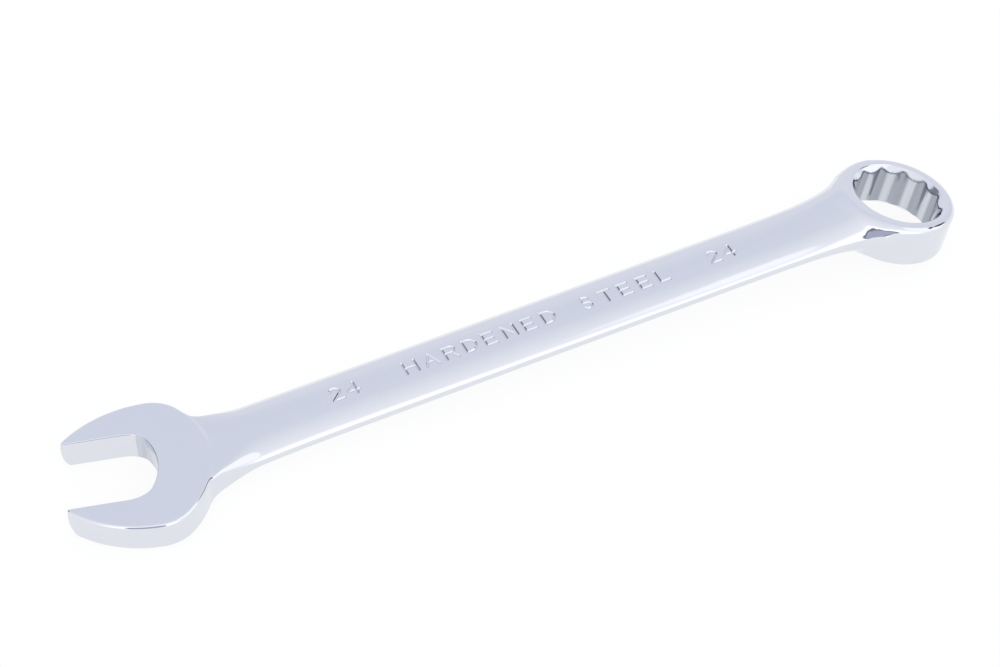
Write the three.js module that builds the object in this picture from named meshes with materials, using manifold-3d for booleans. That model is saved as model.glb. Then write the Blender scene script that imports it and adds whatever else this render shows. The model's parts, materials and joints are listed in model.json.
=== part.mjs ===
// A 24 mm combination wrench: one chrome-plated steel forging with an open jaw at one end and a
// twelve-point ring at the other. It has no moving parts. The forging is given as three solids that
// meet face to face: the open-end head, the shank and the ring head.
//
// Construction frame, millimetres: the shank runs along +X from the centre of the open-end head to
// the ring, the head's flat faces are level, +Z is up. At the end the wrench is set down on a level
// surface, so that the head and the ring both touch it, with the origin under its middle.
import * as THREE from 'three';
import { mergeVertices } from 'three/addons/utils/BufferGeometryUtils.js';
import Module from 'manifold-3d';

const wasm = await Module();
wasm.setup();

const DEGREE = Math.PI / 180;

// The size of the nut that both ends fit.
const NOMINAL_SIZE = 24;
const ACROSS_FLATS = NOMINAL_SIZE + 0.2;

// The open-end head: a slab with a slot turned away from the shank's line. Each side of its outline
// is a flat arc from the jaw's tip, a round shoulder just behind the middle and half of a flat back.
const HEAD_HALF_WIDTH = 23.6;
const HEAD_REACH_BACK = 20.2;
const HEAD_THICKNESS = 9.2;
const HEAD_EDGE_RADIUS = 0.7;
const FRONT_ARC_RADIUS = 35;
const SHOULDER_BEHIND = 3.7;
const SHOULDER_RADIUS = 12;
const JAW_ANGLE = 15 * DEGREE;
const JAW_TIP_RADIUS = 0.8;
const THROAT_DEPTH = 5;
const THROAT_ARC_RADIUS = 18;
const THROAT_CORNER_RADIUS = 3;
const SLOT_LENGTH = 60;

// The shank: an oval bar, flat above and below and half an ellipse on each side. It widens into both
// heads, and more on the near side of the turned jaw.
const SHANK_WIDTH = 21;
const SHANK_THICKNESS = 8.5;
const SHANK_SIDE_DEPTH = 6;
const SHANK_FROM = 24;
const SHANK_TO = 221;
const HEAD_FLARE_AT = 18.5;
const HEAD_FLARE_FAR = { widening: 1.6, length: 7 };
const HEAD_FLARE_NEAR = { widening: 2.6, length: 11 };
const RING_FLARE_AT = 232;
const RING_FLARE = { widening: 4.6, length: 7 };

// The ring head: it leans by the ring angle, so that its far edge droops below the shank.
const RING_DISTANCE = 243.9;
const RING_DROP = 4.4;
const RING_ANGLE = 15 * DEGREE;
const RING_RADIUS = 18;
const RING_THICKNESS = 14.4;
const RING_EDGE_RADIUS = 2;
const RING_POINTS = 12;
const SOCKET_TURN = 3.5 * DEGREE;
const SOCKET_BORE_RADIUS = 12.85;
const RING_MOUTH_RADIUS = 14.6;
const RING_MOUTH_SLOPE = 1.1;

// How the neck at the ring grows upwards and downwards to the ring's full thickness.
const NECK_RISE = { height: 3.3, at: 229, length: 9 };
const NECK_DROP = { height: 2.2, at: 226, length: 8 };

// How finely round shapes are cut.
const ARC_SEGMENTS = 12;
const LATHE_SEGMENTS = 72;
const LOFT_STEP = 4;

const CHROME = { color: 0xd4d7de, roughness: 0.12, metalness: 1 };
const CUT_SIZE = 400;

// A manifold solid from a closed three.js geometry, without the flat triangles at a lathe's poles.
function solid(geometry) {
  const bare = geometry.index ? geometry.toNonIndexed() : geometry.clone();
  bare.deleteAttribute('normal');
  bare.deleteAttribute('uv');
  const merged = mergeVertices(bare, 1e-4);
  const corners = merged.index.array;
  const triangles = [];
  for (let i = 0; i < corners.length; i += 3) {
    const [a, b, c] = corners.slice(i, i + 3);
    if (a !== b && b !== c && c !== a) {
      triangles.push(a, b, c);
    }
  }
  return new wasm.Manifold(new wasm.Mesh({
    numProp: 3,
    vertProperties: new Float32Array(merged.attributes.position.array),
    triVerts: new Uint32Array(triangles),
  }));
}

// A named chrome mesh from a manifold solid.
function chromeMesh(name, manifold) {
  const { vertProperties, triVerts } = manifold.getMesh();
  const geometry = new THREE.BufferGeometry();
  geometry.setAttribute('position', new THREE.BufferAttribute(vertProperties, 3));
  geometry.setIndex(new THREE.BufferAttribute(triVerts, 1));
  geometry.computeVertexNormals();
  const mesh = new THREE.Mesh(geometry, new THREE.MeshStandardMaterial(CHROME));
  mesh.name = name;
  return mesh;
}

// Everything between two stations along the shank.
function slabBetween(fromX, toX) {
  const slab = new THREE.BoxGeometry(toX - fromX, CUT_SIZE, CUT_SIZE);
  slab.translate((fromX + toX) / 2, 0, 0);
  return solid(slab);
}

// A flat shape pulled up to the given height, centred on Z = 0, with rounded rims where asked.
function centredExtrusion(shape, height, rimRadius = 0) {
  const geometry = new THREE.ExtrudeGeometry(shape, {
    depth: height - 2 * rimRadius,
    curveSegments: ARC_SEGMENTS,
    bevelEnabled: rimRadius > 0,
    bevelThickness: rimRadius,
    bevelSize: rimRadius,
    bevelOffset: -rimRadius,
    bevelSegments: 4,
  });
  geometry.translate(0, 0, rimRadius - height / 2);
  return geometry;
}

// Where the arc at the back of the head is centred, so that it is tangent to both shoulders.
function backArcCentre() {
  const shoulderSide = HEAD_HALF_WIDTH - SHOULDER_RADIUS;
  const reach = HEAD_REACH_BACK - SHOULDER_RADIUS;
  return (SHOULDER_BEHIND ** 2 + shoulderSide ** 2 - reach ** 2) / (2 * (reach - SHOULDER_BEHIND));
}

// Draws the throat from the slot's lower side to its upper side: a corner, a flat arc, a corner.
function drawThroat(shape) {
  const half = ACROSS_FLATS / 2;
  const corner = THROAT_CORNER_RADIUS;
  const arcX = THROAT_ARC_RADIUS - THROAT_DEPTH;
  const cornerY = half - corner;
  const backX = Math.sqrt((THROAT_ARC_RADIUS - corner) ** 2 - cornerY ** 2);
  const cornerX = arcX - backX;
  const angle = Math.atan2(cornerY, -backX);
  shape.lineTo(cornerX, -half);
  shape.absarc(cornerX, -cornerY, corner, -Math.PI / 2, -angle, true);
  shape.absarc(arcX, 0, THROAT_ARC_RADIUS, 2 * Math.PI - angle, angle, true);
  shape.absarc(cornerX, cornerY, corner, angle, Math.PI / 2, true);
}

// The outline of the jaw, with the slot opening along +X of its own frame: out along the slot's
// upper side, round the back of the head to the lower tip and in again to the throat.
function jawOutline() {
  const tip = JAW_TIP_RADIUS;
  const tipY = ACROSS_FLATS / 2 + tip;
  const frontY = HEAD_HALF_WIDTH - FRONT_ARC_RADIUS;
  const tipX = Math.sqrt((FRONT_ARC_RADIUS - tip) ** 2 - (tipY - frontY) ** 2) - SHOULDER_BEHIND;
  const tipAngle = Math.atan2(tipY - frontY, tipX + SHOULDER_BEHIND);
  const shoulderY = HEAD_HALF_WIDTH - SHOULDER_RADIUS;
  const backX = backArcCentre();
  const backAngle = Math.atan2(shoulderY, -SHOULDER_BEHIND - backX);
  const side = Math.PI / 2;
  const shape = new THREE.Shape();
  shape.moveTo(tipX, tipY - tip);
  shape.lineTo(tipX, tipY - tip);
  shape.absarc(tipX, tipY, tip, -side, tipAngle, false);
  shape.absarc(-SHOULDER_BEHIND, frontY, FRONT_ARC_RADIUS, tipAngle, side, false);
  shape.absarc(-SHOULDER_BEHIND, shoulderY, SHOULDER_RADIUS, side, backAngle, false);
  shape.absarc(backX, 0, backX + HEAD_REACH_BACK, backAngle, 2 * Math.PI - backAngle, false);
  shape.absarc(-SHOULDER_BEHIND, -shoulderY, SHOULDER_RADIUS, -backAngle, -side, false);
  shape.absarc(-SHOULDER_BEHIND, -frontY, FRONT_ARC_RADIUS, -side, -tipAngle, false);
  shape.absarc(tipX, -tipY, tip, -tipAngle, side, false);
  drawThroat(shape);
  return shape;
}

// The slot alone, open far beyond the jaw tips, for cutting the neck clear of it.
function slotOutline() {
  const half = ACROSS_FLATS / 2;
  const shape = new THREE.Shape();
  shape.moveTo(SLOT_LENGTH, -half);
  drawThroat(shape);
  shape.lineTo(SLOT_LENGTH, half);
  shape.closePath();
  return shape;
}

// The shank's section, drawn around the origin: two half ellipses joined by straight lines.
function shankSection() {
  const side = SHANK_WIDTH / 2 - SHANK_SIDE_DEPTH;
  const half = SHANK_THICKNESS / 2;
  const quarter = Math.PI / 2;
  const shape = new THREE.Shape();
  shape.moveTo(side, -half);
  shape.absellipse(side, 0, SHANK_SIDE_DEPTH, half, -quarter, quarter, false);
  shape.absellipse(-side, 0, SHANK_SIDE_DEPTH, half, quarter, 3 * quarter, false);
  shape.closePath();
  return shape;
}

// How much one flare widens the shank, at a distance from where the flare is full.
function flare({ widening, length }, distance) {
  return widening * Math.min(1, Math.exp(-distance / length));
}

// The shank's half width at a station: constant in the middle, widening into both heads.
function halfWidthAt(x, onFarSide) {
  const headFlare = onFarSide ? HEAD_FLARE_FAR : HEAD_FLARE_NEAR;
  return SHANK_WIDTH / 2 + flare(headFlare, x - HEAD_FLARE_AT) + flare(RING_FLARE, RING_FLARE_AT - x);
}

// How far the top or the bottom of the neck has moved out at a station near the ring.
function neckGrowth({ height, at, length }, x) {
  return height * Math.min(1, Math.exp((x - at) / length));
}

// The bar from inside the open-end head to inside the ring.
function shankBar() {
  const fromX = HEAD_FLARE_AT - 10;
  const toX = RING_DISTANCE - RING_MOUTH_RADIUS + 1;
  const steps = Math.round((toX - fromX) / LOFT_STEP);
  const bar = new THREE.ExtrudeGeometry(shankSection(), {
    depth: toX - fromX, steps, curveSegments: 4, bevelEnabled: false,
  });
  bar.rotateX(Math.PI / 2);
  bar.rotateZ(Math.PI / 2);
  bar.translate(fromX, 0, 0);
  const points = bar.attributes.position;
  for (let i = 0; i < points.count; i += 1) {
    const x = points.getX(i);
    const y = points.getY(i);
    const z = points.getZ(i);
    const growth = neckGrowth(z > 0 ? NECK_RISE : NECK_DROP, x);
    points.setY(i, y * halfWidthAt(x, y > 0) / (SHANK_WIDTH / 2));
    points.setZ(i, z * (1 + growth / (SHANK_THICKNESS / 2)));
  }
  return solid(bar);
}

// The ring's blank: a thick washer without its hole, its rims rounded.
function ringBlank() {
  const half = RING_THICKNESS / 2;
  const rim = RING_EDGE_RADIUS;
  const profile = new THREE.Path();
  profile.moveTo(0, -half);
  profile.lineTo(RING_RADIUS - rim, -half);
  profile.absarc(RING_RADIUS - rim, rim - half, rim, -Math.PI / 2, 0, false);
  profile.absarc(RING_RADIUS - rim, half - rim, rim, 0, Math.PI / 2, false);
  profile.lineTo(0, half);
  const lathe = new THREE.LatheGeometry(profile.getPoints(4), LATHE_SEGMENTS);
  return lathe.rotateX(Math.PI / 2);
}

// The outline of the twelve points: two hexagons, one turned by 30 degrees.
function twelvePointOutline() {
  const cornerRadius = ACROSS_FLATS / 2 / Math.cos(30 * DEGREE);
  const stepAngle = 2 * Math.PI / RING_POINTS;
  const notchRadius = ACROSS_FLATS / 2 / Math.cos(stepAngle / 2);
  const shape = new THREE.Shape();
  for (let i = 0; i < RING_POINTS; i += 1) {
    const cornerAngle = (i + 0.5) * stepAngle;
    const notchAngle = (i + 1) * stepAngle;
    const corner = [cornerRadius * Math.cos(cornerAngle), cornerRadius * Math.sin(cornerAngle)];
    const notch = [notchRadius * Math.cos(notchAngle), notchRadius * Math.sin(notchAngle)];
    if (i === 0) {
      shape.moveTo(...corner);
    } else {
      shape.lineTo(...corner);
    }
    shape.lineTo(...notch);
  }
  shape.closePath();
  return shape;
}

// The twelve-point hole right through the ring, its inner corners bored away.
function socketHole() {
  const depth = 2 * RING_THICKNESS;
  const points = centredExtrusion(twelvePointOutline(), depth).rotateZ(SOCKET_TURN);
  const bore = new THREE.CylinderGeometry(SOCKET_BORE_RADIUS, SOCKET_BORE_RADIUS, depth, LATHE_SEGMENTS);
  return placeRing(points).add(placeRing(bore.rotateX(Math.PI / 2)));
}

// A cone that widens the hole at one face of the ring; side is +1 on top and -1 below.
function mouthCone(side) {
  const beyond = 1;
  const notchDepth = (RING_MOUTH_RADIUS - ACROSS_FLATS / 2) * RING_MOUTH_SLOPE;
  const half = RING_THICKNESS / 2;
  const wide = RING_MOUTH_RADIUS + beyond / RING_MOUTH_SLOPE;
  const narrow = ACROSS_FLATS / 2 - 0.5;
  const height = notchDepth + 0.5 * RING_MOUTH_SLOPE + beyond;
  const cone = new THREE.CylinderGeometry(wide, narrow, height, LATHE_SEGMENTS);
  cone.rotateX(Math.PI / 2);
  cone.translate(0, 0, half + beyond - height / 2);
  if (side < 0) {
    cone.rotateX(Math.PI);
  }
  return cone;
}

// Moves a ring geometry from the ring's own frame to its leaning place at the end of the shank.
function placeRing(geometry) {
  geometry.rotateY(RING_ANGLE);
  geometry.translate(RING_DISTANCE, 0, -RING_DROP);
  return solid(geometry);
}

function openEndHead(bar) {
  const towardsJaw = Math.PI - JAW_ANGLE;
  const slab = centredExtrusion(jawOutline(), HEAD_THICKNESS, HEAD_EDGE_RADIUS).rotateZ(towardsJaw);
  const slot = centredExtrusion(slotOutline(), 3 * HEAD_THICKNESS).rotateZ(towardsJaw);
  const neck = bar.intersect(slabBetween(0, SHANK_FROM)).subtract(solid(slot));
  return chromeMesh('open_end_head', solid(slab).add(neck));
}

function shank(bar) {
  return chromeMesh('shank', bar.intersect(slabBetween(SHANK_FROM, SHANK_TO)));
}

function ringHead(bar) {
  const betweenFaces = placeRing(new THREE.BoxGeometry(CUT_SIZE, CUT_SIZE, RING_THICKNESS));
  const neck = bar.intersect(slabBetween(SHANK_TO, RING_DISTANCE)).intersect(betweenFaces);
  const mouths = placeRing(mouthCone(1)).add(placeRing(mouthCone(-1)));
  const ring = placeRing(ringBlank()).add(neck).subtract(socketHole()).subtract(mouths);
  return chromeMesh('ring_head', ring);
}

// The lowest point of a mesh that is turned about the construction frame's Y axis.
function lowestPoint(mesh, angle) {
  const points = mesh.geometry.attributes.position;
  const turn = new THREE.Matrix4().makeRotationY(-angle);
  const point = new THREE.Vector3();
  const lowest = new THREE.Vector3(0, 0, Infinity);
  for (let i = 0; i < points.count; i += 1) {
    point.fromBufferAttribute(points, i).applyMatrix4(turn);
    if (point.z < lowest.z) {
      lowest.copy(point);
    }
  }
  return lowest;
}

// The angle by which the ring end is lifted when the head's front edge and the ring both touch a
// level surface, closed in on in a few rounds.
function restAngle(head, ring) {
  const rounds = 6;
  let angle = 0;
  for (let i = 0; i < rounds; i += 1) {
    const headLow = lowestPoint(head, angle);
    const ringLow = lowestPoint(ring, angle);
    angle += Math.atan((headLow.z - ringLow.z) / (ringLow.x - headLow.x));
  }
  return angle;
}

const bar = shankBar();
const head = openEndHead(bar);
const ring = ringHead(bar);
const wrench = new THREE.Group();
wrench.add(head, shank(bar), ring);
wrench.rotation.y = -restAngle(head, ring);

const assembly = new THREE.Group();
assembly.add(wrench);
const box = new THREE.Box3().setFromObject(assembly, true);
const middle = box.getCenter(new THREE.Vector3());
wrench.position.set(-middle.x, -middle.y, -box.min.z);

export default assembly;
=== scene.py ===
"""A 24 mm combination wrench in polished chrome, lying on a pale studio floor.

The wrench is one forging, so it is one seamless mesh that stands for the three CAD nodes. Its surface
is described by a distance function in millimetres, in the wrench's own frame: X runs along the shank
from the centre of the open-end head to the ring, Y is across, Z is up out of the head's flat face.
"""
import json
import math

import bpy
import numpy as np
import openvdb
from mathutils import Matrix, Vector


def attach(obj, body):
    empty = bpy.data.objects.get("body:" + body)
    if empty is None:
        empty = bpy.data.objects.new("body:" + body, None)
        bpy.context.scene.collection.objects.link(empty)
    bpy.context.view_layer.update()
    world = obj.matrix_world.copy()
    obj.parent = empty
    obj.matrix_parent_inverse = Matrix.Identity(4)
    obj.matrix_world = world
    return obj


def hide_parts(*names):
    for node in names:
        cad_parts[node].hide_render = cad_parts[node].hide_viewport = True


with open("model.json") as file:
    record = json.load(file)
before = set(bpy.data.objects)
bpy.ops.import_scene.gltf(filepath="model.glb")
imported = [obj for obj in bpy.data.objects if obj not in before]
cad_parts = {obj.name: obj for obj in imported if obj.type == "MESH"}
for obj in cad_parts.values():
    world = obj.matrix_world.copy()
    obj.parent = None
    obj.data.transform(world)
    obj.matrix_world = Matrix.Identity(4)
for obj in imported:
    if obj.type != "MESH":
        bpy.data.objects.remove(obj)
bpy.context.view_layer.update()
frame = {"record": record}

MM = 0.001
DEGREE = math.pi / 180

# ---- Sizes, in millimetres -------------------------------------------------------------------------

ACROSS_FLATS = 24.2

# The open-end head, seen from above: flat arcs towards the tips, round shoulders, a flat arc behind.
HEAD_HALF_WIDTH = 23.6
HEAD_REACH_BACK = 20.2
SHOULDER_BEHIND = 3.7
SHOULDER_RADIUS = 12.0
FRONT_ARC_RADIUS = 35.0
HEAD_HALF_THICKNESS = 4.6
HEAD_RIM_RADIUS = 0.9
SLOT_RIM_RADIUS = 0.4
JAW_ANGLE = 15 * DEGREE
JAW_TIP_RADIUS = 1.1

# Seen from the side, each tip ends in an arc that reaches furthest a little above the middle.
TIP_REACH = 21.8
TIP_CURVE_RADIUS = 10.0
TIP_CURVE_HEIGHT = 1.2

# The slot's closed end: a flat arc between two small corners.
THROAT_ARC_RADIUS = 18.0
THROAT_DEPTH = 5.0
THROAT_CORNER_RADIUS = 3.0

# The shank is oval: its sides are half ellipses that reach in from the widest line, and its top and
# bottom are slightly crowned between them.
SHANK_HALF_WIDTH = 10.5
SHANK_HALF_THICKNESS = 4.25
SHANK_SIDE_DEPTH = 6.0
SHANK_CROWN_RADIUS = 80.0
SHANK_CROWN_TO = 12.0
SHANK_FROM = 9.0

# Beside the head the shank is lower and flatter, and meets the head's faces with a small step.
HEAD_STEP_WIDTH = 1.4
HEAD_DIP = {"height": 0.1, "at": 22.0, "length": 8.0}
HEAD_FLATTENING = {"share": 0.85, "at": 20.0, "length": 10.0}
HEAD_TO_OVAL_LENGTH = 14.0

# Each flare widens the shank in full up to one station, and fades out over the length beyond it.
HEAD_FLARE_AT = 18.5
HEAD_FLARE_FAR = {"widening": 0.3, "length": 7.0}
HEAD_FLARE_NEAR = {"widening": 2.2, "length": 11.0}
HEAD_FLARE_FILLET = 3.0
RING_FLARE_AT = 232.0
RING_FLARE_WIDENING = 4.6
RING_FLARE_SIDE_GROWTH = 3.0
RING_FLARE_LENGTH = 7.0

# How the neck at the ring grows upwards and downwards to the ring's full thickness.
NECK_RISE = {"height": 2.9, "at": 229.0, "length": 9.0}
NECK_DROP = {"height": 2.2, "at": 226.0, "length": 8.0}

# The ring leans, so that its far edge droops below the shank.
RING_DISTANCE = 243.9
RING_DROP = 4.4
RING_ANGLE = 15 * DEGREE
RING_RADIUS = 18.0
RING_HALF_THICKNESS = 7.2
RING_RIM_RADIUS = 2.0
RING_FILLET = 3.5
RING_MOUTH_RADIUS = 14.6
RING_MOUTH_SLOPE = 1.1

# The twelve-point socket. Its grooves get painted shade, a darker colour, from one distance off the axis up
# to another.
SOCKET_TURN = 3.5 * DEGREE
SOCKET_BORE_RADIUS = 12.85
SOCKET_RIDGE_RADIUS = 0.35
SOCKET_CORNER_RADIUS = 0.7
MOUTH_EDGE_RADIUS = 0.25
GROOVE_SHADE_FROM = 12.87
GROOVE_SHADE_TO = 13.15

# A triangle belongs to a hole's wall when its middle is this close to the wall.
SOCKET_WALL_REACH = 0.3
THROAT_WALL_REACH = 0.25

# The stamped marks: pen strokes with sloping walls.
ENGRAVING_DEPTH = 0.38
ENGRAVING_HALF_WIDTH = 0.55
ENGRAVING_WALL = 0.5
LETTER_HEIGHT = 4.6
LETTER_WIDTH = 3.6

# The station along the shank, from the head's centre, of the two mounts on the head's faces.
MOUNT_STATION = 12.0

# ---- The wrench's frame ----------------------------------------------------------------------------


def wrench_frame():
    """The matrix from the wrench's own frame, in millimetres, to the CAD frame, in metres."""
    mounts = {mount["name"]: mount for mount in frame["record"]["mounts"]}
    top = Vector(mounts["head_top_face"]["pos_m"])
    bottom = Vector(mounts["head_bottom_face"]["pos_m"])
    up = (top - bottom).normalized()
    across = Vector((0, 1, 0))
    along = across.cross(up)
    origin = (top + bottom) / 2 - along * MOUNT_STATION * MM
    matrix = Matrix((along, across, up)).transposed().to_4x4() @ Matrix.Scale(MM, 4)
    matrix.translation = origin
    return matrix


# ---- Distance functions ----------------------------------------------------------------------------


def join(a, b, radius):
    """The union of two solids, with a fillet of the given radius where they meet."""
    inside = np.hypot(np.maximum(radius - a, 0), np.maximum(radius - b, 0))
    return np.maximum(radius, np.minimum(a, b)) - inside


def common(a, b, radius):
    """What two solids share, with its new edges rounded to the given radius."""
    return -join(-a, -b, radius)


def slot_distance(s, t):
    """The jaw's slot in plan; s runs out of the slot from the head's centre, t runs across."""
    centre = THROAT_ARC_RADIUS - THROAT_DEPTH
    throat = np.where(s < centre, np.hypot(s - centre, t), np.abs(t)) - THROAT_ARC_RADIUS
    return common(np.abs(t) - ACROSS_FLATS / 2, throat, THROAT_CORNER_RADIUS)


def head_outline_distance(s, t):
    """The head's outline in plan, without its slot: three arcs a side, each tangent to the next."""
    side = np.abs(t)
    shoulder_side = HEAD_HALF_WIDTH - SHOULDER_RADIUS
    reach = HEAD_REACH_BACK - SHOULDER_RADIUS
    back_centre = (SHOULDER_BEHIND**2 + shoulder_side**2 - reach**2) / (2 * (reach - SHOULDER_BEHIND))
    front = np.hypot(s + SHOULDER_BEHIND, side + FRONT_ARC_RADIUS - HEAD_HALF_WIDTH) - FRONT_ARC_RADIUS
    shoulder = np.hypot(s + SHOULDER_BEHIND, side - shoulder_side) - SHOULDER_RADIUS
    back = np.hypot(s - back_centre, side) - back_centre - HEAD_REACH_BACK
    behind = side * (back_centre + SHOULDER_BEHIND) < shoulder_side * (back_centre - s)
    return np.where(s > -SHOULDER_BEHIND, front, np.where(behind, back, shoulder))


def jaw_coordinates(x, y):
    """The jaw's own frame in plan: s out of the slot, t across it."""
    cos, sin = math.cos(JAW_ANGLE), math.sin(JAW_ANGLE)
    return sin * y - cos * x, sin * x + cos * y


def fading(distance_inside, length):
    """1 where the distance is positive, and less and less the further it is below zero."""
    return np.exp(np.minimum(distance_inside / length, 0))


def shank_half_width(x, y):
    """Half the shank's width; its flare into the turned head is larger on the near side."""
    widening = np.where(y > 0, HEAD_FLARE_FAR["widening"], HEAD_FLARE_NEAR["widening"])
    length = np.where(y > 0, HEAD_FLARE_FAR["length"], HEAD_FLARE_NEAR["length"])
    towards_head = fading(HEAD_FLARE_AT - x, length)
    towards_ring = fading(x - RING_FLARE_AT, RING_FLARE_LENGTH)
    return SHANK_HALF_WIDTH + widening * towards_head + RING_FLARE_WIDENING * towards_ring


def neck_growth(x, neck):
    """How far the neck has moved out at a station near the ring."""
    return neck["height"] * fading(x - neck["at"], neck["length"])


def smooth_step(amount):
    """A smooth change from 0 to 1 while the amount goes from 0 to 1."""
    share = np.clip(amount, 0, 1)
    return share * share * (3 - 2 * share)


def shank_face_height(x, y, z):
    """How high the shank's crowned top, or how low its bottom, is at a point in plan."""
    dip = HEAD_DIP["height"] * fading(HEAD_DIP["at"] - x, HEAD_DIP["length"])
    flattening = HEAD_FLATTENING["share"] * fading(HEAD_FLATTENING["at"] - x, HEAD_FLATTENING["length"])
    growth = np.where(z > 0, neck_growth(x, NECK_RISE), neck_growth(x, NECK_DROP)) - dip
    crown_drop = np.minimum(y * y, SHANK_CROWN_TO**2) / (2 * SHANK_CROWN_RADIUS)
    return SHANK_HALF_THICKNESS + growth - (1 - flattening) * crown_drop


def within_oval_edge(side, face, width, height):
    """What is inside both a side and a face, with a quarter of an ellipse for the edge between them."""
    past_side = side / width + 1
    past_face = face / height + 1
    outside = np.hypot(np.maximum(past_side, 0), np.maximum(past_face, 0))
    return (outside + np.minimum(np.maximum(past_side, past_face), 0) - 1) * height


def blank_distance(x, y, z):
    """The bar with the head's slab at its end, their side walls and edges flowing into each other."""
    slab = head_outline_distance(*jaw_coordinates(x, y))
    bar = np.maximum(np.abs(y) - shank_half_width(x, y), SHANK_FROM - x)
    outline = join(bar, slab, HEAD_FLARE_FILLET)
    on_head = smooth_step(0.5 - slab / HEAD_STEP_WIDTH)
    bar_height = shank_face_height(x, y, z)
    height = bar_height + (HEAD_HALF_THICKNESS - bar_height) * on_head
    from_head = smooth_step(slab / HEAD_TO_OVAL_LENGTH)
    side_depth = SHANK_SIDE_DEPTH + RING_FLARE_SIDE_GROWTH * fading(x - RING_FLARE_AT, RING_FLARE_LENGTH)
    edge_width = HEAD_RIM_RADIUS + (side_depth - HEAD_RIM_RADIUS) * from_head
    edge_height = HEAD_RIM_RADIUS + (height - HEAD_RIM_RADIUS) * from_head
    rounded = within_oval_edge(outline, np.abs(z) - height, edge_width, edge_height)
    return np.maximum(rounded, x - RING_DISTANCE)


def jaw_distance(x, y, z, blank):
    """The blank with the slot cut into it and the tips rounded."""
    s, t = jaw_coordinates(x, y)
    slot = slot_distance(s, t)
    tip_centre = TIP_REACH - TIP_CURVE_RADIUS
    tip_end = np.hypot(np.maximum(s - tip_centre, 0), z - TIP_CURVE_HEIGHT) - TIP_CURVE_RADIUS
    tips = common(common(head_outline_distance(s, t), tip_end, JAW_TIP_RADIUS), -slot, JAW_TIP_RADIUS)
    rounded = common(common(blank, tip_end, HEAD_RIM_RADIUS), -slot, SLOT_RIM_RADIUS)
    return np.where(s > 0, np.maximum(rounded, tips), rounded)


def ring_coordinates(x, y, z):
    """The ring's own frame: u away from the shank, v across, h along the ring's axis."""
    cos, sin = math.cos(RING_ANGLE), math.sin(RING_ANGLE)
    from_centre = x - RING_DISTANCE
    height = z + RING_DROP
    return cos * from_centre - sin * height, y, sin * from_centre + cos * height


def hexagon_distance(u, v, corner_angle):
    """A hexagonal hole with one corner at the given angle."""
    flats = []
    for i in range(3):
        angle = corner_angle + (30 + 60 * i) * DEGREE
        flats.append(np.abs(u * math.cos(angle) + v * math.sin(angle)) - ACROSS_FLATS / 2)
    pair = common(flats[0], flats[1], SOCKET_CORNER_RADIUS)
    return common(pair, flats[2], SOCKET_CORNER_RADIUS)


def socket_distance(u, v):
    """The twelve-point socket: two hexagons, turned by 30 degrees from each other."""
    first = hexagon_distance(u, v, 15 * DEGREE + SOCKET_TURN)
    second = hexagon_distance(u, v, 45 * DEGREE + SOCKET_TURN)
    bore = np.hypot(u, v) - SOCKET_BORE_RADIUS
    return join(np.minimum(first, second), bore, SOCKET_RIDGE_RADIUS)


def hole_distance(u, v, h):
    """The socket with the cones that widen its two mouths."""
    slope = math.hypot(1, RING_MOUTH_SLOPE)
    reach = (np.hypot(u, v) - RING_MOUTH_RADIUS) * RING_MOUTH_SLOPE
    cone = (reach + RING_HALF_THICKNESS - np.abs(h)) / slope
    return join(socket_distance(u, v), cone, MOUTH_EDGE_RADIUS)


def wrench_distance(points):
    """How far each point is outside the wrench's surface, without the engraving."""
    x, y, z = points.T
    u, v, h = ring_coordinates(x, y, z)
    shank = blank_distance(x, y, z)
    barrel = np.hypot(u, v) - RING_RADIUS
    necked = common(join(barrel, shank, RING_FILLET), np.abs(h) - RING_HALF_THICKNESS, RING_RIM_RADIUS)
    faced_shank = common(shank, h - RING_HALF_THICKNESS, RING_RIM_RADIUS)
    ring = common(np.minimum(necked, faced_shank), -hole_distance(u, v, h), MOUTH_EDGE_RADIUS)
    return np.where(x < RING_DISTANCE / 2, jaw_distance(x, y, z, shank), ring)


# ---- The engraving ---------------------------------------------------------------------------------


def arc(centre, radius, from_degrees, to_degrees):
    """Points along a circular arc, in letter units."""
    count = 2 + int(abs(to_degrees - from_degrees) / 20)
    angles = np.radians(np.linspace(from_degrees, to_degrees, count))
    return [(centre[0] + radius * math.cos(a), centre[1] + radius * math.sin(a)) for a in angles]


# Each letter is a list of pen strokes in a box one unit high and about 0.8 wide.
LETTERS = {
    "H": [[(0, 0), (0, 1)], [(0.8, 0), (0.8, 1)], [(0, 0.5), (0.8, 0.5)]],
    "A": [[(0, 0), (0.42, 1), (0.84, 0)], [(0.16, 0.36), (0.68, 0.36)]],
    "R": [[(0, 0), (0, 1), (0.5, 1), *arc((0.5, 0.75), 0.25, 90, -90), (0, 0.5)], [(0.45, 0.5), (0.78, 0)]],
    "D": [[(0, 0), (0, 1), (0.3, 1), *arc((0.3, 0.5), 0.5, 90, -90), (0, 0)]],
    "E": [[(0.7, 1), (0, 1), (0, 0), (0.72, 0)], [(0, 0.5), (0.62, 0.5)]],
    "N": [[(0, 0), (0, 1), (0.78, 0), (0.78, 1)]],
    "S": [[*arc((0.38, 0.74), 0.26, 30, 270), *arc((0.38, 0.26), 0.26, 90, -150)]],
    "T": [[(0, 1), (0.8, 1)], [(0.4, 1), (0.4, 0)]],
    "L": [[(0, 1), (0, 0), (0.68, 0)]],
    "2": [[*arc((0.36, 0.7), 0.3, 165, -35), (0.02, 0), (0.72, 0)]],
    "4": [[(0.56, 0), (0.56, 1), (0, 0.3), (0.78, 0.3)]],
}

# Each marking: its words, the station of its middle along the shank, and its letters' spacing.
MARKINGS = [
    ("24", 62.1, 5.0),
    ("HARDENED STEEL", 123.6, 6.3),
    ("24", 184.1, 5.0),
]


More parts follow.
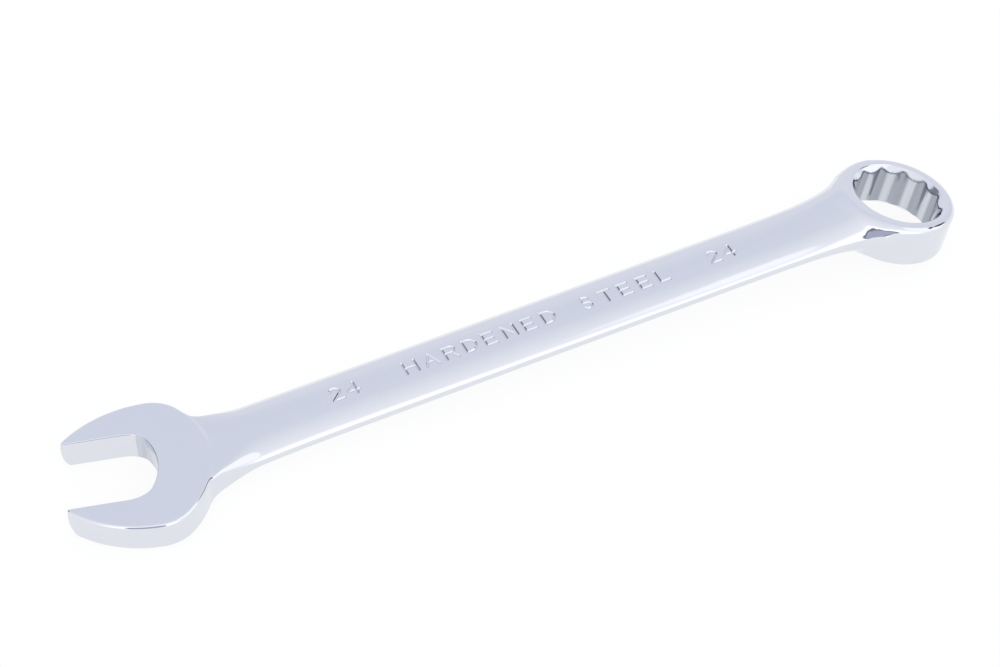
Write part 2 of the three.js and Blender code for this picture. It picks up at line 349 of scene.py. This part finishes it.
def engraved_segments():
    """Every straight piece of every pen stroke, as rows of from x, from y, to x, to y."""
    rows = []
    for words, middle, spacing in MARKINGS:
        left = middle - spacing * len(words) / 2
        for place, letter in enumerate(words):
            if letter == " ":
                continue
            corner = np.array((left + spacing * place + (spacing - LETTER_WIDTH) / 2, -LETTER_HEIGHT / 2))
            for stroke in LETTERS[letter]:
                pen = corner + np.array(stroke) * LETTER_HEIGHT
                rows.extend(np.hstack((pen[:-1], pen[1:])))
    rows = np.array(rows)
    return rows[np.hypot(*(rows[:, 2:] - rows[:, :2]).T) > 0.01]


SEGMENTS = engraved_segments()
MARKED_FROM = SEGMENTS[:, 0].min() - 2
MARKED_TO = SEGMENTS[:, 2].max() + 2


def stroke_distance(points):
    """How far each point is, in plan, from the nearest pen stroke; far away where nothing is marked."""
    distance = np.full(len(points), np.inf)
    x, y, z = points.T
    near = (z > 0) & (x > MARKED_FROM) & (x < MARKED_TO) & (np.abs(y) < LETTER_HEIGHT)
    plan = points[near][:, :2]
    nearest = np.full(len(plan), np.inf)
    for from_x, from_y, to_x, to_y in SEGMENTS:
        start = np.array((from_x, from_y))
        run = np.array((to_x, to_y)) - start
        offset = plan - start
        share = np.clip(offset @ run / (run @ run), 0, 1)
        nearest = np.minimum(nearest, np.hypot(*(offset - share[:, None] * run).T))
    distance[near] = nearest
    return distance


def surface_distance(points):
    """The distance to the finished surface, with the engraving sunk into it."""
    inwards = (ENGRAVING_HALF_WIDTH - stroke_distance(points)) / ENGRAVING_WALL
    return wrench_distance(points) + ENGRAVING_DEPTH * smooth_step(inwards)


# ---- From the distance function to a mesh ----------------------------------------------------------

# A first even mesh, whose sides are then split where the surface turns, and along the pen strokes.
VOXEL = 0.9
GRADIENT_STEP = 0.01
SHORTEST_EDGE = 0.18
ENGRAVED_EDGE = 0.26
LARGEST_TURN = math.cos(13 * DEGREE)
REFINEMENTS = 4


def gradient(points):
    """The slope of the distance function at each point."""
    slopes = []
    for axis in np.eye(3) * GRADIENT_STEP:
        slopes.append(surface_distance(points + axis) - surface_distance(points - axis))
    return np.stack(slopes, axis=1) / (2 * GRADIENT_STEP)


def onto_surface(points, rounds=3):
    """Moves points along the slope until they lie on the surface."""
    for _ in range(rounds):
        slope = gradient(points)
        steepness = np.maximum((slope * slope).sum(axis=1), 0.05)
        points = points - slope * (surface_distance(points) / steepness)[:, None]
    return points


def first_mesh():
    """An even triangle mesh of the whole wrench."""
    low = np.array((-HEAD_HALF_WIDTH - 2, -HEAD_HALF_WIDTH - 1, -RING_DROP - RING_RADIUS)) - 2 * VOXEL
    high = np.array((RING_DISTANCE + RING_RADIUS + 4, HEAD_HALF_WIDTH + 1, RING_RADIUS)) + 2 * VOXEL
    axes = [np.arange(a, b, VOXEL) for a, b in zip(low, high)]
    lattice = np.stack(np.meshgrid(*axes, indexing="ij"), axis=-1)
    values = wrench_distance(lattice.reshape(-1, 3)).reshape(lattice.shape[:3])
    grid = openvdb.FloatGrid(2 * VOXEL)
    grid.copyFromArray(values.astype(np.float32))
    points, quads = grid.convertToQuads(isovalue=0)
    points = low + np.asarray(points, dtype=float) * VOXEL
    quads = np.asarray(quads, dtype=np.int64)
    triangles = np.vstack((quads[:, [0, 1, 2]], quads[:, [0, 2, 3]]))
    corners = points[triangles]
    volume = np.einsum("ij,ij->", corners[:, 0], np.cross(corners[:, 1], corners[:, 2]))
    return points, triangles if volume > 0 else triangles[:, ::-1]


def turned(triangles, middles, first_side):
    """Triangles and their sides' middles, started from another corner of each."""
    order = (first_side[:, None] + np.arange(3)) % 3
    return np.take_along_axis(triangles, order, 1), np.take_along_axis(middles, order, 1)


def split_triangles(triangles, middles):
    """Cuts each triangle to match the middles of its split sides; a middle of -1 is a whole side."""
    count = (middles >= 0).sum(axis=1)
    pieces = [triangles[count == 0]]

    one = count == 1
    split_side = (middles[one] >= 0).argmax(1)
    corners, between = turned(triangles[one], middles[one], split_side)
    (a, b, c), ab = corners.T, between[:, 0]
    pieces += [np.stack(piece, 1) for piece in ((a, ab, c), (ab, b, c))]

    two = count == 2
    whole_side = (middles[two] < 0).argmax(1)
    corners, between = turned(triangles[two], middles[two], (whole_side + 1) % 3)
    (a, b, c), (ab, bc, _) = corners.T, between.T
    pieces += [np.stack(piece, 1) for piece in ((ab, b, bc), (a, ab, bc), (a, bc, c))]

    three = count == 3
    (a, b, c), (ab, bc, ca) = triangles[three].T, middles[three].T
    pieces += [np.stack(piece, 1) for piece in ((a, ab, ca), (ab, b, bc), (ca, bc, c), (ab, bc, ca))]
    return np.vstack(pieces)


def split_sides(points, triangles, wanted):
    """Splits the wanted sides in the middle, and every triangle to match."""
    sides = np.sort(triangles[:, [[0, 1], [1, 2], [2, 0]]].reshape(-1, 2), axis=1)
    pairs, side_of = np.unique(sides, axis=0, return_inverse=True)
    split = wanted(points, pairs)
    middle = np.full(len(pairs), -1)
    middle[split] = len(points) + np.arange(split.sum())
    points = np.vstack((points, onto_surface(points[pairs[split]].mean(axis=1))))
    return points, split_triangles(triangles, middle[side_of.reshape(-1, 3)])


def needs_split(points, pairs):
    """True for a side that turns too sharply, or is long and beside a pen stroke."""
    start, end = points[pairs[:, 0]], points[pairs[:, 1]]
    length = np.linalg.norm(end - start, axis=1)
    normals = gradient(points)
    normals /= np.linalg.norm(normals, axis=1)[:, None]
    turn = (normals[pairs[:, 0]] * normals[pairs[:, 1]]).sum(axis=1)
    beside = stroke_distance((start + end) / 2) < ENGRAVING_HALF_WIDTH + 0.6 * length
    return (length > SHORTEST_EDGE) & (turn < LARGEST_TURN) | (length > ENGRAVED_EDGE) & beside


def wrench_surface():
    """The wrench's finished mesh and its normals, in millimetres in the wrench's own frame."""
    points, triangles = first_mesh()
    points = onto_surface(points)
    for _ in range(REFINEMENTS):
        points, triangles = split_sides(points, triangles, needs_split)
    points = onto_surface(points, rounds=1)
    normals = gradient(points)
    return points, triangles, normals / np.linalg.norm(normals, axis=1)[:, None]


def in_socket(points, triangles):
    """True for the triangles that lie on the broached wall of the socket."""
    u, v, _ = ring_coordinates(*points[triangles].mean(axis=1).T)
    return np.abs(socket_distance(u, v)) < SOCKET_WALL_REACH


def in_throat(points, triangles):
    """True for the triangles on the wall of the slot's closed end."""
    s, t = jaw_coordinates(*points[triangles].mean(axis=1).T[:2])
    return (np.abs(slot_distance(s, t)) < THROAT_WALL_REACH) & (s < 0)


def build_wrench(polished, broached, milled_and_shaded):
    """The wrench as one object, with its three materials."""
    points, triangles, normals = wrench_surface()
    placed = wrench_frame()
    turn = np.array(placed.to_3x3()) / MM
    mesh = bpy.data.meshes.new("wrench_forging")
    world = points @ (turn.T * MM) + np.array(placed.translation)
    mesh.from_pydata(world.tolist(), [], triangles.tolist())
    for material in (polished, broached, milled_and_shaded):
        mesh.materials.append(material)
    # The socket's grooves and the slot's closed end get materials with painted shade in their colours.
    zones = np.where(in_socket(points, triangles), 1, np.where(in_throat(points, triangles), 2, 0))
    mesh.polygons.foreach_set("material_index", zones.astype(np.int32))
    mesh.polygons.foreach_set("use_smooth", np.ones(len(triangles), dtype=bool))
    mesh.update()
    mesh.normals_split_custom_set_from_vertices((normals @ turn.T).tolist())
    wrench = bpy.data.objects.new("wrench_forging", mesh)
    bpy.context.scene.collection.objects.link(wrench)
    return wrench


# ---- Materials -------------------------------------------------------------------------------------


# Each metal's darkest and lightest colours.
POLISHED = ((0.73, 0.75, 0.81, 1), (0.75, 0.77, 0.825, 1))
SOCKET_RIDGE = ((0.56, 0.6, 0.66, 1), (0.72, 0.75, 0.8, 1))
# The grooves' darker colours are painted shade in the socket's recesses.
SOCKET_GROOVE_PAINTED_SHADE = ((0.3, 0.33, 0.38, 1), (0.46, 0.49, 0.55, 1))
# The milled throat's darker colours are partly painted shade for the slot's closed end, partly its duller
# finish.
MILLED_AND_PAINTED_SHADE = ((0.46, 0.5, 0.58, 1), (0.66, 0.69, 0.76, 1))

# The part of a noise's range that is stretched over the range of what it drives.
NOISE_LOW = 0.3
NOISE_HIGH = 0.7

# The floor is a light table, so that hardly any shadow shows on it.
FLOOR_SHADE = 0.12
FLOOR_GLOW = 0.885


def new_material(name):
    """An empty node material and its Principled shader."""
    material = bpy.data.materials.new(name)
    material.use_nodes = True
    nodes = material.node_tree.nodes
    return material, nodes, material.node_tree.links, nodes["Principled BSDF"]


def add_noise(nodes, links, coordinates, scale, detail):
    """A noise texture that reads the given coordinates."""
    noise = nodes.new("ShaderNodeTexNoise")
    noise.inputs["Scale"].default_value = scale
    noise.inputs["Detail"].default_value = detail
    links.new(coordinates, noise.inputs["Vector"])
    return noise.outputs["Fac"]


def add_range(nodes, links, value, low, high):
    """Stretches a noise to run from low to high."""
    stretch = nodes.new("ShaderNodeMapRange")
    stretch.inputs["From Min"].default_value = NOISE_LOW
    stretch.inputs["From Max"].default_value = NOISE_HIGH
    stretch.inputs["To Min"].default_value = low
    stretch.inputs["To Max"].default_value = high
    links.new(value, stretch.inputs["Value"])
    return stretch.outputs["Result"]


def add_bump(nodes, links, height, distance, below=None):
    """A bump of the given height in metres, laid over another one where there is one."""
    bump = nodes.new("ShaderNodeBump")
    bump.inputs["Distance"].default_value = distance
    links.new(height, bump.inputs["Height"])
    if below:
        links.new(below, bump.inputs["Normal"])
    return bump.outputs["Normal"]


def add_colour_mix(nodes, links, share, first, second):
    """A colour between two others; the noise or the share says how far along."""
    mix = nodes.new("ShaderNodeMix")
    mix.data_type = "RGBA"
    mix.inputs["A"].default_value = first
    mix.inputs["B"].default_value = second
    links.new(share, mix.inputs["Factor"])
    return mix.outputs["Result"]


def stretched_coordinates(nodes, links, stretch):
    """The object's coordinates, scaled along each axis."""
    place = nodes.new("ShaderNodeTexCoord")
    mapping = nodes.new("ShaderNodeMapping")
    mapping.inputs["Scale"].default_value = stretch
    links.new(place.outputs["Object"], mapping.inputs["Vector"])
    return mapping.outputs["Vector"]


def polished_chrome():
    """Bright plating over polished steel: a slow waviness and the last faint lines of the polishing."""
    material, nodes, links, shader = new_material("polished_chrome")
    even = stretched_coordinates(nodes, links, (1, 1, 1))
    along = stretched_coordinates(nodes, links, (0.06, 1, 1))
    waves = add_noise(nodes, links, even, 55, 1)
    cloud = add_noise(nodes, links, even, 140, 3)
    lines = add_noise(nodes, links, along, 2600, 2)
    colour = add_colour_mix(nodes, links, cloud, *POLISHED)
    links.new(colour, shader.inputs["Base Color"])
    links.new(add_range(nodes, links, cloud, 0.05, 0.09), shader.inputs["Roughness"])
    wavy = add_bump(nodes, links, waves, 0.00006)
    links.new(add_bump(nodes, links, lines, 0.0000006, wavy), shader.inputs["Normal"])
    shader.inputs["Metallic"].default_value = 1
    return material


def ring_frame():
    """The matrix from the ring's own frame, in millimetres, to the CAD frame, in metres."""
    place = Matrix.Translation((RING_DISTANCE, 0, -RING_DROP))
    return wrench_frame() @ place @ Matrix.Rotation(RING_ANGLE, 4, "Y")


def add_product(nodes, links, vector, factors):
    """A vector with each of its parts multiplied by a factor."""
    product = nodes.new("ShaderNodeVectorMath")
    product.operation = "MULTIPLY"
    product.inputs[1].default_value = factors
    links.new(vector, product.inputs[0])
    return product.outputs["Vector"]


def ring_coordinates_of_shader(nodes, links):
    """The object's coordinates seen in the ring's own frame, in metres."""
    place = nodes.new("ShaderNodeTexCoord")
    mapping = nodes.new("ShaderNodeMapping")
    mapping.vector_type = "TEXTURE"
    ring = ring_frame()
    mapping.inputs["Location"].default_value = ring.translation
    mapping.inputs["Rotation"].default_value = ring.to_euler()
    links.new(place.outputs["Object"], mapping.inputs["Vector"])
    return mapping.outputs["Vector"]


def add_groove_shade_share(nodes, links, in_ring):
    """How far down into the grooves a point of the socket's wall lies, from 0 on a ridge to 1; it sets how
    much painted shade the point gets.
    """
    reach = nodes.new("ShaderNodeVectorMath")
    reach.operation = "LENGTH"
    links.new(add_product(nodes, links, in_ring, (1, 1, 0)), reach.inputs[0])
    share = nodes.new("ShaderNodeMapRange")
    share.interpolation_type = "SMOOTHSTEP"
    share.inputs["From Min"].default_value = GROOVE_SHADE_FROM * MM
    share.inputs["From Max"].default_value = GROOVE_SHADE_TO * MM
    links.new(reach.outputs["Value"], share.inputs["Value"])
    return share.outputs["Result"]


def broached_chrome():
    """Thin plating over broached steel, scored along the axis of the ring, with painted shade in the
    grooves: a darker colour there.
    """
    material, nodes, links, shader = new_material("broached_chrome")
    in_ring = ring_coordinates_of_shader(nodes, links)
    scored = add_product(nodes, links, in_ring, (1, 1, 0.03))
    coarse = add_noise(nodes, links, scored, 900, 3)
    fine = add_noise(nodes, links, scored, 3200, 2)
    ridge = add_colour_mix(nodes, links, coarse, *SOCKET_RIDGE)
    groove_shade = add_colour_mix(nodes, links, coarse, *SOCKET_GROOVE_PAINTED_SHADE)
    # The grooves' colour is painted shade, mixed in by how deep a point lies.
    colour = nodes.new("ShaderNodeMix")
    colour.data_type = "RGBA"
    links.new(add_groove_shade_share(nodes, links, in_ring), colour.inputs["Factor"])
    links.new(ridge, colour.inputs["A"])
    links.new(groove_shade, colour.inputs["B"])
    links.new(colour.outputs["Result"], shader.inputs["Base Color"])
    links.new(add_range(nodes, links, fine, 0.14, 0.26), shader.inputs["Roughness"])
    grooves = add_bump(nodes, links, coarse, 0.00003)
    links.new(add_bump(nodes, links, fine, 0.000005, grooves), shader.inputs["Normal"])
    shader.inputs["Metallic"].default_value = 1
    return material


def milled_chrome_painted_shade():
    """Thin plating over the milled end of the slot, with milled streaks, darker than the polished faces:
    partly the duller milled finish, partly painted shade for the slot's closed end.
    """
    material, nodes, links, shader = new_material("milled_chrome_painted_shade")
    upright = stretched_coordinates(nodes, links, (1, 1, 0.1))
    streaks = add_noise(nodes, links, upright, 500, 3)
    colour = add_colour_mix(nodes, links, streaks, *MILLED_AND_PAINTED_SHADE)
    links.new(colour, shader.inputs["Base Color"])
    links.new(add_range(nodes, links, streaks, 0.12, 0.2), shader.inputs["Roughness"])
    links.new(add_bump(nodes, links, streaks, 0.00001), shader.inputs["Normal"])
    shader.inputs["Metallic"].default_value = 1
    return material


def floor_material():
    """A matt light table."""
    material, _, _, shader = new_material("studio_floor")
    shader.inputs["Base Color"].default_value = (FLOOR_SHADE, FLOOR_SHADE, FLOOR_SHADE, 1)
    shader.inputs["Roughness"].default_value = 0.8
    shader.inputs["Specular IOR Level"].default_value = 0.1
    shader.inputs["Emission Color"].default_value = (1, 1, 1, 1)
    shader.inputs["Emission Strength"].default_value = FLOOR_GLOW
    return material


# ---- Studio ----------------------------------------------------------------------------------------


FLOOR_HALF_WIDTH = 3.0


def add_floor():
    """A square floor at the height on which the wrench lies."""
    half = FLOOR_HALF_WIDTH
    mesh = bpy.data.meshes.new("studio_floor")
    corners = [(-half, -half, 0), (half, -half, 0), (half, half, 0), (-half, half, 0)]
    mesh.from_pydata(corners, [], [(0, 1, 2, 3)])
    mesh.materials.append(floor_material())
    floor = bpy.data.objects.new("studio_floor", mesh)
    bpy.context.scene.collection.objects.link(floor)


# What the chrome mirrors. The room is a pale tent, a little brighter towards the camera's side.
ROOM_FRONT = (-0.3, -0.95, 0.0)
ROOM_TONES = [
    (-1.0, (0.88, 0.9, 0.95)),
    (-0.78, (0.88, 0.885, 0.955)),
    (-0.7, (0.81, 0.84, 0.92)),
    (-0.35, (0.88, 0.9, 0.96)),
    (0.2, (0.98, 0.99, 1.02)),
    (0.62, (1.06, 1.06, 1.08)),
    (0.76, (1.4, 1.4, 1.4)),
]

# The gaps in the tent and what stands in them: azimuth, elevation and radius in degrees, and colour.
ROOM_PATCHES = [
    ("right_panel", -30, 32, 30, (1.25, 1.25, 1.27)),
    ("right_gap", -5, 25, 10, (0.08, 0.08, 0.1)),
    ("tripod", -115, 14, 19, (0.14, 0.14, 0.18)),
    ("photographer", -115, 12, 16, (0.48, 0.51, 0.62)),
    ("left_gap", 136, 28, 18, (0.24, 0.25, 0.28)),
]
PATCH_SOFTNESS = 2


def direction(azimuth, elevation):
    """A unit vector at an azimuth from +X and an elevation, both in degrees."""
    level = math.cos(elevation * DEGREE)
    return (level * math.cos(azimuth * DEGREE), level * math.sin(azimuth * DEGREE),
            math.sin(elevation * DEGREE))


def add_dot(nodes, links, vector, axis):
    """How far a direction points along an axis."""
    dot = nodes.new("ShaderNodeVectorMath")
    dot.operation = "DOT_PRODUCT"
    dot.inputs[1].default_value = axis
    links.new(vector, dot.inputs[0])
    return dot.outputs["Value"]


def add_patch(nodes, links, vector, below, azimuth, elevation, radius, colour):
    """Lays a soft round patch of another colour over the room."""
    reach = nodes.new("ShaderNodeMapRange")
    reach.interpolation_type = "SMOOTHSTEP"
    reach.inputs["From Min"].default_value = math.cos((radius + PATCH_SOFTNESS) * DEGREE)
    reach.inputs["From Max"].default_value = math.cos((radius - PATCH_SOFTNESS) * DEGREE)
    links.new(add_dot(nodes, links, vector, direction(azimuth, elevation)), reach.inputs["Value"])
    mix = nodes.new("ShaderNodeMix")
    mix.data_type = "RGBA"
    mix.inputs["B"].default_value = (*colour, 1)
    links.new(below, mix.inputs["A"])
    links.new(reach.outputs["Result"], mix.inputs["Factor"])
    return mix.outputs["Result"]


def add_room_tones(nodes, links, vector):
    """The tent's tones, from behind the object to in front of it."""
    ramp = nodes.new("ShaderNodeValToRGB")
    shift = nodes.new("ShaderNodeMapRange")
    shift.inputs["From Min"].default_value = -1
    links.new(add_dot(nodes, links, vector, ROOM_FRONT), shift.inputs["Value"])
    links.new(shift.outputs["Result"], ramp.inputs["Fac"])
    stops = ramp.color_ramp.elements
    while len(stops) < len(ROOM_TONES):
        stops.new(0.5)
    for stop, (along, colour) in zip(stops, ROOM_TONES):
        stop.position = (along + 1) / 2
        stop.color = (*colour, 1)
    return ramp.outputs["Color"]


def add_world():
    """The room around the object, drawn in the world's nodes."""
    world = bpy.data.worlds.new("studio")
    world.use_nodes = True
    nodes, links = world.node_tree.nodes, world.node_tree.links
    vector = nodes.new("ShaderNodeTexCoord").outputs["Generated"]
    room = add_room_tones(nodes, links, vector)
    for _, azimuth, elevation, radius, colour in ROOM_PATCHES:
        room = add_patch(nodes, links, vector, room, azimuth, elevation, radius, colour)
    links.new(room, nodes["Background"].inputs["Color"])
    bpy.context.scene.world = world


# The camera, in the wrench's own frame: what it looks at and how far off, in millimetres, which way
# it looks, and its lens.
CAMERA_TARGET = (113.08, 4.07, 0.0)
CAMERA_AZIMUTH = -24.35 * DEGREE
CAMERA_ELEVATION = 45.59 * DEGREE
CAMERA_ROLL = -2.09 * DEGREE
CAMERA_DISTANCE = 805.45
CAMERA_LENS = 99.5


def add_camera():
    """The camera, placed in the wrench's own frame and carried over to the CAD frame."""
    right = Vector((math.cos(CAMERA_AZIMUTH), math.sin(CAMERA_AZIMUTH), 0))
    level = Vector((-math.sin(CAMERA_AZIMUTH), math.cos(CAMERA_AZIMUTH), 0))
    ahead = level * math.cos(CAMERA_ELEVATION) - Vector((0, 0, math.sin(CAMERA_ELEVATION)))
    up = right.cross(ahead)
    rolled_right = right * math.cos(CAMERA_ROLL) + up * math.sin(CAMERA_ROLL)
    rolled_up = up * math.cos(CAMERA_ROLL) - right * math.sin(CAMERA_ROLL)
    placed = wrench_frame()
    turn = placed.to_3x3().normalized()
    matrix = (turn @ Matrix((rolled_right, rolled_up, -ahead)).transposed()).to_4x4()
    matrix.translation = placed @ (Vector(CAMERA_TARGET) - ahead * CAMERA_DISTANCE)
    lens = bpy.data.cameras.new("camera")
    lens.lens = CAMERA_LENS
    lens.sensor_width = 36
    camera = bpy.data.objects.new("camera", lens)
    camera.matrix_world = matrix
    bpy.context.scene.collection.objects.link(camera)
    bpy.context.scene.camera = camera


add_camera()
add_floor()
add_world()
bpy.context.scene.view_settings.view_transform = "Standard"

wrench = build_wrench(polished_chrome(), broached_chrome(), milled_chrome_painted_shade())
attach(wrench, "root")
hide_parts("open_end_head", "shank", "ring_head")
